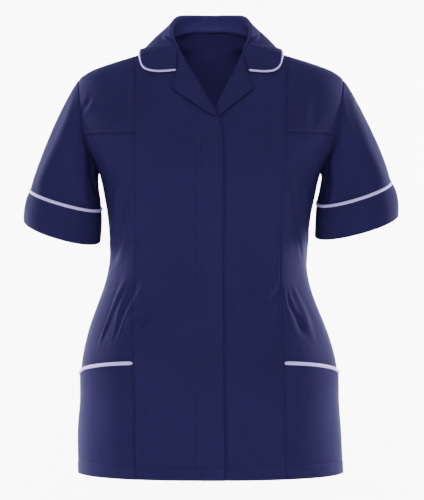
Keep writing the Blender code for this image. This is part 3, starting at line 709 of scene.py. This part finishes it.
def ring_points(ring, side, share):
    """Points on a ring: share 0 is its outer end, 0.25 its front, 0.5 its inner end."""
    outer = np.array([side * ring.outer_x, 0, ring.outer_z])
    inner = np.array([side * ring.inner_x, 0, ring.inner_z])
    cos, sin = np.cos(2 * math.pi * share), np.sin(2 * math.pi * share)
    along = np.abs(cos) ** RING_ROUND * np.sign(cos)
    aside = np.abs(sin) ** RING_ROUND * np.sign(sin)
    middle = (outer + inner) / 2
    front = np.array([0, -ring.depth, -ring.sag])
    return middle + along[:, None] * (outer - middle) + aside[:, None] * front


def armhole(side, share):
    z = ARMHOLE_MIDDLE + ARMHOLE_HALF * np.cos(2 * math.pi * share)
    back = share % 1 > 0.5
    turn = edge_turn(z, back)
    turn = side * np.where(back, 180 - turn, turn)
    return bare_body(z, turn), body_normal(z, turn)


def sleeve_surface(side, share, t):
    """The sleeve's outer face: t is 0 at the armhole edge and 1 at the lower end."""
    share = share % 1
    here, normal = armhole(side, share)
    step = 0.002
    ahead, behind = armhole(side, (share + step) % 1)[0], armhole(side, (share - step) % 1)[0]
    leave = -side * unit(np.cross(ahead - behind, normal))
    start = here + leave * 0.3 + normal * 0.2
    first, last = SLEEVE_RINGS[side]
    top, bottom = ring_points(first, side, share), ring_points(last, side, share)
    upper = np.cos(math.pi * share) ** 2
    head = unit(np.stack([side * (HEAD_OUT + HEAD_SPREAD * upper),
                          -HEAD_SPLAY * np.sin(2 * math.pi * share), HEAD_SPREAD * upper - 1.0], axis=-1))
    control_1 = start + head * blend(UNDERARM_REACH, HEAD_REACH, upper)[:, None]
    control_2 = top - unit(bottom - top) * blend(UNDERARM_REACH, CUFF_REACH, upper)[:, None]
    f = np.clip(t / CUFF_AT, 0, 1)[:, None]
    point = (start * (1 - f) ** 3 + control_1 * 3 * f * (1 - f) ** 2
             + control_2 * 3 * f * f * (1 - f) + top * f ** 3)
    below = np.clip((t - CUFF_AT) / (1 - CUFF_AT), 0, 1)[:, None]
    return np.where(f < 1, point, blend(top, bottom, below)), leave, normal


def drape_height(side, share, t):
    lift = 0.5 * np.sin(share * 2 * math.pi * 5 + t * 4 + side) * np.sin(t * 9 + side)
    for drape in SLEEVE_DRAPES[side]:
        run = np.clip((t - drape.start) / (drape.end - drape.start), 0, 1)
        middle = blend(drape.turn0, drape.turn1, run) + 0.008 * np.sin(run * 6 + drape.turn0 * 40)
        away = (share - middle + 0.5) % 1 - 0.5
        fade = smooth_step((t - drape.start + 0.06) / 0.16) * smooth_step((drape.end + 0.06 - t) / 0.16)
        lift = lift + drape.depth * fade * np.exp(-(away / drape.width) ** 2)
    return lift * smooth_step(t / 0.08) * smooth_step((CUFF_AT + 0.03 - t) / 0.08)


def sleeve_place(side):
    def place(s, t):
        share = s if side < 0 else 1 - s
        t = 1 - t
        point, leave, normal = sleeve_surface(side, share, t)
        small = 0.002
        ahead = sleeve_surface(side, share + small, t)[0] - sleeve_surface(side, share - small, t)[0]
        down = sleeve_surface(side, share, t + 0.01)[0] - point
        out = unit(np.cross(ahead, down)) * side
        away = t * SLEEVE_SIZE[1]
        dive = 1.9 * smooth_step(1 - away / 2.2)        # in under the armhole edge
        tuck = leave * -(2.4 * smooth_step(1 - away / 1.2))[:, None]
        return point + out * drape_height(side, share, t)[:, None] - normal * dive[:, None] + tuck
    return place


def cuff_surface(side, share, t):
    rings = [ring_points(ring, side, share) for ring in CUFF_RINGS[side]]
    t = np.clip(t, 0, 1)[:, None]
    first, middle, last = rings
    bend = 2 * (first + last - 2 * middle)
    slope = 4 * middle - 3 * first - last
    return first + slope * t + bend * t * t


def cuff_frame(side, share, t):
    point = cuff_surface(side, share, t)
    down = unit(cuff_surface(side, share, np.minimum(t + 0.02, 1)) - cuff_surface(side, share, t - 0.02))
    across = cuff_surface(side, share + 0.004, t) - cuff_surface(side, share - 0.004, t)
    return point, down, unit(np.cross(across, down)) * side


CUFF_LENGTH = 51.0
CUFF_TURN = 1.5             # radius of the fold at the cuff's lower edge
CUFF_STITCH = 3.4           # from the cuff's upper edge to its line of stitching


def cuff_place(side):
    def place(s, t):
        share = s if side < 0 else 1 - s
        run = (1 - t) * CUFF_SIZE[1]
        down_share = np.clip(run / CUFF_LENGTH, 0, 1)
        point, down, out = cuff_frame(side, share, down_share)
        past = np.maximum(run - CUFF_LENGTH, 0)
        angle = np.clip(past / CUFF_TURN, 0, math.pi)
        inside = np.maximum(past - math.pi * CUFF_TURN, 0)
        wave = 0.6 * np.sin(share * 2 * math.pi * 3 + side) * np.sin(down_share * math.pi)
        wave += dip(run - CUFF_STITCH, 0.9, 0.45) - 0.9 * smooth_step(1 - run / 1.4)
        return (point + down * (CUFF_TURN * np.sin(angle) - inside)[:, None]
                + out * (wave - CUFF_TURN * (1 - np.cos(angle)))[:, None])
    return place


for side, hand in SIDES:
    around = np.linspace(0, 1, 129)
    rows = 1 - stations(SLEEVE_SIZE[1], 3.4, (0.0, 0.5, 1.1, 1.7, 2.3, 3.2), (0.0, 1.0))[::-1]
    panel(f"sleeve_cloth_{hand}", f"sleeve_{hand}", around, rows, sleeve_place(side),
          SLEEVE_SIZE, closed=True)

    fold = [CUFF_LENGTH + CUFF_TURN * a for a in np.linspace(0, math.pi, 7)]
    runs = [0.0, 0.5, 1.0, 1.6, 2.4, CUFF_STITCH, 4.4]
    runs += list(np.linspace(6.0, CUFF_LENGTH, 15))[:-1] + fold + [CUFF_SIZE[1]]
    rows = 1 - np.array(runs)[::-1] / CUFF_SIZE[1]
    panel(f"cuff_band_{hand}", f"cuff_{hand}", around, rows, cuff_place(side), CUFF_SIZE, closed=True)

    share = np.linspace(0, 1, 97)[:-1]
    point, down, out = cuff_frame(side, share, np.zeros(96))
    path = point - down * (CUFF_PIPING * 0.7) - out * 0.2
    piece = cord(f"cuff_edge_piping_{hand}", path, out, (1.5, CUFF_PIPING), closed=True)
    sew_in(piece, f"cuff_piping_{hand}", lilac)

# The lapels, turned back from the roll line and running under the collar's ends at the gorge
# seam. x is towards the lapel's own side.
LapelRow = namedtuple("LapelRow", "roll_x roll_z edge_x edge_z")
LAPEL = {
    -1: [LapelRow(-11, -119, -13, -123), LapelRow(-1, -103, 6, -115),
         LapelRow(12, -80, 32, -97), LapelRow(26, -55, 62, -73),
         LapelRow(38, -36, 57, -59), LapelRow(49.5, -14, 53.5, -46), LapelRow(54, -7, 60, -43)],
    1: [LapelRow(9, -103, 11, -123), LapelRow(15, -92, 20, -114.5), LapelRow(20, -82, 29, -107),
        LapelRow(27, -68, 45, -93), LapelRow(35, -52, 65, -76),
        LapelRow(42, -37, 61, -62), LapelRow(50.5, -15, 57, -47), LapelRow(55, -8, 63.5, -44)],
}
LAPEL_ROLL = 1.7            # radius of the turn at the roll line
LAPEL_SIZE = {-1: (42.0, 118.0), 1: (40.0, 92.0)}


def knots(points, at):
    """A smooth curve through evenly numbered points, read from 0 to 1."""
    points = np.asarray(points, float)
    index = np.linspace(0, 1, len(points))
    return np.stack([hermite(index, points[:, k], at) for k in range(points.shape[1])], axis=-1)


def lapel_place(side):
    size = LAPEL_SIZE[side]

    def place(s, t):
        share = s if side > 0 else 1 - s
        run = share * size[0]
        radius = LAPEL_ROLL * smooth_step(t / 0.1 + 0.02)
        angle = np.clip(run / LAPEL_ROLL, 0, math.pi)
        flat = np.clip((run - math.pi * LAPEL_ROLL) / (size[0] - math.pi * LAPEL_ROLL), 0, 1)
        line = knots(LAPEL[side], t)
        x = blend(line[:, 0], line[:, 2], flat) - radius * np.sin(angle)
        z = blend(line[:, 1], line[:, 3], flat) + 0.35 * radius * np.sin(angle)
        puff = 3.2 * np.sin(math.pi * np.minimum(flat * 1.25, 1.0) * 0.8) * smooth_step(t * 4)
        edge = np.minimum((1 - flat) * size[0], 12.0)
        lift = radius * (1 - np.cos(angle)) - 1.3 + puff
        lift = lift - 0.9 * smooth_step(1 - edge / 1.3) * smooth_step(t * 5)
        lift = lift + 0.5 * np.sin(t * 9 + side) * np.sin(flat * 3)
        lift = blend(lift, np.minimum(lift, 1.5), smooth_step((t - 0.68) / 0.2))
        if side > 0:
            lap = read(RIGHT_FRONT_EDGE, "x", z)
            lift = blend(lift, -1.5, smooth_step((lap + 4.0 - x) / 4.5))
        return on_front(side * x, z, lift)
    return place


for side, hand in SIDES:
    size = LAPEL_SIZE[side]
    turn_over = list(LAPEL_ROLL * np.linspace(0, math.pi, 9))
    flat = list(np.linspace(turn_over[-1], size[0] - 4.0, 16)[1:])
    flat += [size[0] - d for d in (2.6, 1.6, 0.9, 0.4, 0.0)]
    across = np.array(turn_over + flat) / size[0]
    if side < 0:
        across = 1 - across[::-1]
    rows = np.linspace(0, 1, 46)
    panel(f"lapel_cloth_{hand}", f"lapel_{hand}", across, rows, lapel_place(side), size)

# The collar: a stand inside the neck, a roll, and a fall over the shoulders that ends at a notch
# on each side. Its outer edge carries piping all round.
CollarRow = namedtuple("CollarRow", "seam roll edge")
COLLAR = [
    CollarRow((0, 69.5, 31.5), (0, 71, 57), (0, 92, 4)),
    CollarRow((27, 67, 31), (31, 67, 57), (40, 89, 4)),
    CollarRow((50, 53, 25), (53, 52, 54), (74, 74, 2)),
    CollarRow((64, 38, 17), (62, 34, 43), (97, 46, -2)),
    CollarRow((68.5, 14, 9), (64.5, 13, 29), (108, 10, -6)),
    CollarRow((65, -11, 5), (61, -11, 11), (111, -24, -18)),
    CollarRow((55, -33, -8), (52, -36, -9), (111, -47, -31)),
]
NOTCH_X = {-1: 55.0, 1: 59.5}
COLLAR_OUT = 5.0            # the fall's upper face lies at least this far off the body
ROLL = 2.6
STAND_PART, ROLL_PART = 0.27, 0.11      # shares of the collar's width
COLLAR_SIZE = (560.0, 108.0)
COLLAR_PIPING = 1.4
GORGE_SHARE = 0.4           # share of the fall's front end that lies along the lapel
GORGE_TOP = (51.8, -12.5)   # x and z at which the roll runs in under the lapel
STAND_TUCK = (1.6, 2.6)     # how far inside and below the neck edge the stand is sewn
SHOULDER_TUCK = 10.0        # how much lower it reaches at the shoulders
LAST_ROW = 0.93             # beyond this share the fall turns to its front end


def past_body(point):
    """Above 0 outside the body's section at a point's height, below 0 inside it."""
    z = np.clip(point[:, 2], HEM, NECK_BACK)
    depth = np.where(point[:, 1] > 0, read(TORSO, "back", z), read(TORSO, "front", z))
    across = np.abs(point[:, 0]) / read(TORSO, "half_width", z)
    return across ** (2 / ROUND) + (np.abs(point[:, 1]) / depth) ** (2 / ROUND) - 1


def clear_of_body(point, out):
    """Points moved out along the body's own slope, so that they lie at least this far off it."""
    for _ in range(3):
        rises = [past_body(point + step) - past_body(point - step) for step in np.eye(3)]
        slope = np.stack(rises, axis=-1) / 2
        steep = np.linalg.norm(slope, axis=-1)
        short = out - past_body(point) / steep
        move = (short + np.sqrt(short ** 2 + 1.0)) / 2
        point = point + slope * (move / steep)[:, None]
    return point


def collar_table(w):
    """Seam, roll and edge of the collar at a place from -1 to 1 round the neck."""
    rows = []
    for field in CollarRow._fields:
        right = [getattr(row, field) for row in COLLAR]
        mirrored = [(-x, y, z) for x, y, z in right[:0:-1]] + right
        rows.append(knots(mirrored, (w + 1) / 2))
    return rows


def fall_points(w, share):
    seam, roll, edge = collar_table(w)
    outwards = unit((edge - roll) * np.array([1.0, 1.0, 0.0]))
    top = roll + outwards * ROLL - np.array([0, 0, ROLL])
    crown = unit(outwards + np.array([0, 0, 0.8])) * (4.0 * np.sin(math.pi * share))[:, None]
    return clear_of_body(blend(top, edge, share[:, None]) + crown, COLLAR_OUT)


def end_points(side, share):
    """The front end of the fall: down the gorge to the notch, then out along the lower edge."""
    notch = NOTCH_X[side]
    gorge = knots([(53, -10.5), (54.5, -28), (notch, -45)], share / GORGE_SHARE)
    lower = [(notch, -45), (notch + 20, -46.8), (notch + 36, -46.0), (103.5, -42.6), (108.5, -37)]
    lower = knots(lower, (share - GORGE_SHARE) / (1 - GORGE_SHARE))
    path = np.where((share < GORGE_SHARE)[:, None], gorge, lower)
    return on_front(side * path[:, 0], path[:, 1], 3.0 + 0.5 * share)


def collar_place(s, t):
    """s runs from the wearer's left end round the back to the right end, t from the stand's seam
    to the fall's edge."""
    w = 1 - 2 * s
    seam, roll, edge = collar_table(w)
    outwards = unit((edge - roll) * np.array([1.0, 1.0, 0.0]))
    up = np.array([0, 0, 1.0])
    inner = roll - outwards * ROLL - up * ROLL
    stand = np.clip(t / STAND_PART, 0, 1)
    angle = np.clip((t - STAND_PART) / ROLL_PART, 0, 1) * math.pi
    share = np.clip((t - STAND_PART - ROLL_PART) / (1 - STAND_PART - ROLL_PART), 0, 1)
    hollow = 1.5 * np.sin(math.pi * stand)
    point = blend(seam, inner, stand[:, None]) + outwards * hollow[:, None]
    tucked = smooth_step(1 - stand / 0.12)
    deeper = SHOULDER_TUCK * np.exp(-((np.abs(w) - 0.78) / 0.2) ** 2)
    point = point - outwards * (STAND_TUCK[0] * tucked)[:, None]
    point = point - up * ((STAND_TUCK[1] + deeper) * tucked)[:, None]
    around = roll - up * ROLL + (-outwards * np.cos(angle)[:, None] + up * np.sin(angle)[:, None]) * ROLL
    point = np.where((t > STAND_PART)[:, None], around, point)
    fall = fall_points(w, share)
    for side in (-1, 1):
        gorge = on_front(np.full(len(w), side * GORGE_TOP[0]), np.full(len(w), GORGE_TOP[1]), 0.4)
        pinch = 0.85 * smooth_step((np.abs(w) - 0.965) / 0.035) * (w * side > 0)
        point = blend(point, gorge, pinch[:, None])
        late = np.clip((np.abs(w) - LAST_ROW) / (1 - LAST_ROW), 0, 1) * (w * side > 0)
        fall = blend(fall, end_points(side, share), late[:, None])
    point = np.where((share > 0)[:, None], fall, point)
    return point


w_even = list(np.linspace(-LAST_ROW, LAST_ROW, 131))
w_end = list(LAST_ROW + (1 - LAST_ROW) * np.linspace(0, 1, 17)[1:])
w_all = np.array([-w for w in reversed(w_end)] + w_even + w_end)
across = ((w_all + 1) / 2)
rise = list(np.linspace(0, STAND_PART, 10)) + list(STAND_PART + ROLL_PART * np.linspace(0, 1, 9)[1:])
rise += list(STAND_PART + ROLL_PART + (1 - STAND_PART - ROLL_PART) * np.linspace(0, 1, 26)[1:])
panel("collar_cloth", "collar", across, np.array(rise), collar_place, COLLAR_SIZE)

runs = []
for side in (-1, 1):
    share = np.linspace(GORGE_SHARE, 1.0, 22)
    end = end_points(side, share) + np.array([0, -0.4, -COLLAR_PIPING * 0.8])
    w = side * np.linspace(LAST_ROW, 0.0, 70)
    edge = fall_points(w, np.ones(len(w)))
    away = unit(edge - fall_points(w, np.full(len(w), 0.96)))
    edge = edge + away * COLLAR_PIPING * 0.8
    runs.append(np.vstack([end, edge]))
path = np.vstack([runs[0], runs[1][::-1][1:]])
gap = np.linalg.norm(np.diff(path, axis=0), axis=1)
place = np.concatenate([[0], np.cumsum(gap)])
even = np.linspace(0, place[-1], 330)
path = np.stack([np.interp(even, place, path[:, k]) for k in range(3)], axis=-1)
for _ in range(12):
    path[1:-1] = (path[:-2] + 2 * path[1:-1] + path[2:]) / 4
piece = cord("collar_edge_piping", path, unit(path - np.array([0.0, 30.0, -90.0])), (1.3, COLLAR_PIPING))
sew_in(piece, "collar_piping", lilac)

# The topstitching: rows of short stitches in navy thread, each sunk in the trough its row pulls
# in the cloth. Every stitch is a small bent rod.
STITCH, STITCH_GAP = 2.6, 0.7
THREAD = 0.23               # radius
THREAD_NAVY = (0.0200, 0.0190, 0.0720)


def thread_finish():
    finish = Finish("navy_thread", 0.55)
    place = finish.node("ShaderNodeTexCoord", {}, [], output=3)
    twist = finish.noise(place, 1500.0, 1.0)
    finish.feed("Base Color", finish.mix(twist, *shades(THREAD_NAVY, 0.8, 1.25)))
    return finish.material


navy_thread = thread_finish()


def stitching(name, path, normal):
    """A row of stitches along a path in mm, standing a little out of the cloth."""
    gaps = np.linalg.norm(np.diff(path, axis=0), axis=1)
    place = np.concatenate([[0], np.cumsum(gaps)])
    pitch = STITCH + STITCH_GAP
    count = int(place[-1] / pitch)
    starts = (place[-1] - count * pitch) / 2 + pitch * np.arange(count)
    along = np.array([0.0, 0.22, 0.78, 1.0]) * STITCH
    heights = np.array([-0.30, 0.10, 0.10, -0.30])
    at = starts[:, None] + along[None, :]
    points = np.stack([np.interp(at, place, path[:, k]) for k in range(3)], axis=-1)
    out = unit(np.stack([np.interp(at, place, normal[:, k]) for k in range(3)], axis=-1))
    points = points + out * heights[None, :, None]
    forward = unit(np.gradient(points, axis=1))
    aside = unit(np.cross(forward, out))
    corners = []
    for angle in (0.25, 0.75, 1.25, 1.75):
        turn = angle * math.pi
        corners.append(points + (out * math.sin(turn) + aside * math.cos(turn)) * THREAD)
    verts = np.stack(corners, axis=2).reshape(-1, 3) * MM
    faces = []
    for k in range(count):
        base = k * 16
        for ring in range(3):
            for c in range(4):
                a, b = base + ring * 4 + c, base + ring * 4 + (c + 1) % 4
                faces.append((a, b, b + 4, a + 4))
        faces.append((base + 3, base + 2, base + 1, base))
        faces.append((base + 12, base + 13, base + 14, base + 15))
    mesh = bpy.data.meshes.new(name)
    mesh.from_pydata([tuple(v) for v in verts], [], faces)
    mesh.shade_smooth()
    row = bpy.data.objects.new(name, mesh)
    bpy.context.scene.collection.objects.link(row)
    row.data.materials.append(navy_thread)
    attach(row, "root")
    return row


def body_stitching(name, z, turn, out):
    """Stitches on the body, along heights and angles, at a depth below its face."""
    stitching(name, body(z, turn, out), body_normal(z, turn))


SUNK = -0.45
run = np.linspace(HEM + 2, -38, 900)
for side, hand in SIDES:
    seam = np.abs(princess_turn(run, side))
    body_stitching(f"princess_stitching_{hand}", run, side * turn_moved(run, seam, -PRINCESS_STITCH), SUNK)
    seam = np.linspace(0.03, 0.985, 200)
    height = np.full(200, CHEST_SEAM + CHEST_STITCH)
    inner = np.abs(princess_turn(height, side))
    turn = side * blend(inner, edge_turn(height, False), seam)
    body_stitching(f"chest_stitching_{hand}", height, turn, -0.35)

run = np.linspace(HEM + 2, PLACKET_TOP, 700)
body_stitching("placket_stitching", run, turn_at(run, np.full(700, PLACKET_STITCH)), SUNK + 0.25)
height = np.full(900, HEM + HEM_STITCH)
turn = np.linspace(turn_at(height[:1], read(LEFT_FRONT_EDGE, "x", height[:1]))[0] + 10.5, 348.0, 900)
body_stitching("hem_stitching_round", height, turn, -0.1)
turn = np.linspace(-11.5, turn_at(height[:1], read(RIGHT_FRONT_EDGE, "x", height[:1]))[0] - 0.5, 120)
body_stitching("hem_stitching_lap", height[:120], turn, 0.25)


def pocket_stitching(name, side, share, z):
    """Stitches on a pocket's face."""
    height = (z - POCKET_LOW) / (pocket_top(share) - POCKET_LOW)
    normal = body_normal(z, pocket_turn(side, share, z))
    stitching(name, pocket_place(side, share, z, height, -0.5), normal)


for side, hand in SIDES:
    share = np.linspace(0.02, 0.98, 160)
    below = blend(POCKET_LOW, pocket_top(share), 1 - POCKET_STITCH / POCKET_SIZE[1])
    pocket_stitching(f"pocket_stitching_{hand}", side, share, below)
    pocket_stitching(f"pocket_hem_stitching_{hand}", side, share, np.full(160, HEM + HEM_STITCH))
    share = np.linspace(0, 1, 360)
    point, down, out = cuff_frame(side, share, np.full(360, CUFF_STITCH / CUFF_LENGTH))
    sunk = 0.12 * np.sin(share * 2 * math.pi * 3 + side) - 0.3
    stitching(f"cuff_stitching_{hand}", point + out * sunk[:, None], out)


# The studio: a pale floor that curves up into a pale wall, as far below the tunic as a wearer's
# feet would be, soft lights in front and above, and a
# small one that reaches into the neck.
FLOOR = -1.40
bm = bmesh.new()
bmesh.ops.create_grid(bm, x_segments=1, y_segments=40, size=1.0)
for vert in bm.verts:
    run = (vert.co.y + 1) / 2 * 11.0
    bend = min(max(run - 6.5, 0.0), 1.5 * math.pi / 2 * 1.0)
    angle = bend / 1.5
    y = -4.0 + min(run, 6.5) + 1.5 * math.sin(angle)
    z = FLOOR + 1.5 * (1 - math.cos(angle)) + max(run - 6.5 - 1.5 * math.pi / 2, 0.0)
    vert.co = (vert.co.x * 6.0, y, z)
mesh = bpy.data.meshes.new("studio_sweep")
bm.to_mesh(mesh)
bm.free()
mesh.shade_smooth()
sweep = bpy.data.objects.new("studio_sweep", mesh)
bpy.context.scene.collection.objects.link(sweep)
paper = Finish("pale_paper", 0.9)
paper.feed("Base Color", (0.93, 0.93, 0.93, 1))
sweep.data.materials.append(paper.material)

SoftLight = namedtuple("SoftLight", "name place aim width power spread")
SOFT_LIGHTS = [
    SoftLight("key", (-2.0, -2.8, 1.0), (0.0, 0.0, -0.35), 1.6, 28.0, 180),
    SoftLight("fill", (2.3, -3.0, 0.3), (0.0, 0.0, -0.35), 2.0, 10.0, 180),
    SoftLight("neck", (0.1, -3.3, 1.3), (0.0, 0.1, -0.1), 1.0, 40.0, 180),
    SoftLight("top", (0.0, -0.3, 2.4), (0.0, 0.0, -0.35), 1.8, 16.0, 180),
    SoftLight("neck_inside", (0.0, -0.10, 0.20), (0.0, 0.085, -0.01), 0.08, 0.065, 50),
    SoftLight("backdrop_right", (-2.6, 1.3, 0.4), (-0.2, 4.0, -0.4), 1.6, 780.0, 180),
    SoftLight("backdrop_left", (2.6, 1.3, 0.4), (0.2, 4.0, -0.4), 1.6, 780.0, 180),
]
for entry in SOFT_LIGHTS:
    light = bpy.data.lights.new(entry.name, "AREA")
    light.shape = "SQUARE"
    light.size = entry.width
    light.energy = entry.power
    light.spread = math.radians(entry.spread)
    lamp = bpy.data.objects.new(entry.name, light)
    bpy.context.scene.collection.objects.link(lamp)
    lamp.location = entry.place
    toward = Vector(entry.aim) - Vector(entry.place)
    lamp.rotation_euler = toward.to_track_quat("-Z", "Y").to_euler()

world = bpy.data.worlds.new("studio")
bpy.context.scene.world = world
world.use_nodes = True
world.node_tree.nodes["Background"].inputs["Color"].default_value = (1.0, 1.0, 1.0, 1)
world.node_tree.nodes["Background"].inputs["Strength"].default_value = 0.62

# The camera stands 3 m in front, level, at the height of the middle of the picture, with the
# picture 0.803 m high where the side seams are.
VIEW_DISTANCE, VIEW_HEIGHT, PICTURE_HEIGHT = 3.0, -0.3276, 0.803
lens = bpy.data.cameras.new("camera")
lens.sensor_fit = "VERTICAL"
lens.sensor_height = 24.0
lens.lens = 24.0 * VIEW_DISTANCE / PICTURE_HEIGHT
camera = bpy.data.objects.new("camera", lens)
bpy.context.scene.collection.objects.link(camera)
camera.location = (0.0016, -VIEW_DISTANCE, VIEW_HEIGHT)
camera.rotation_euler = (math.pi / 2, 0.0, 0.0)
bpy.context.scene.camera = camera
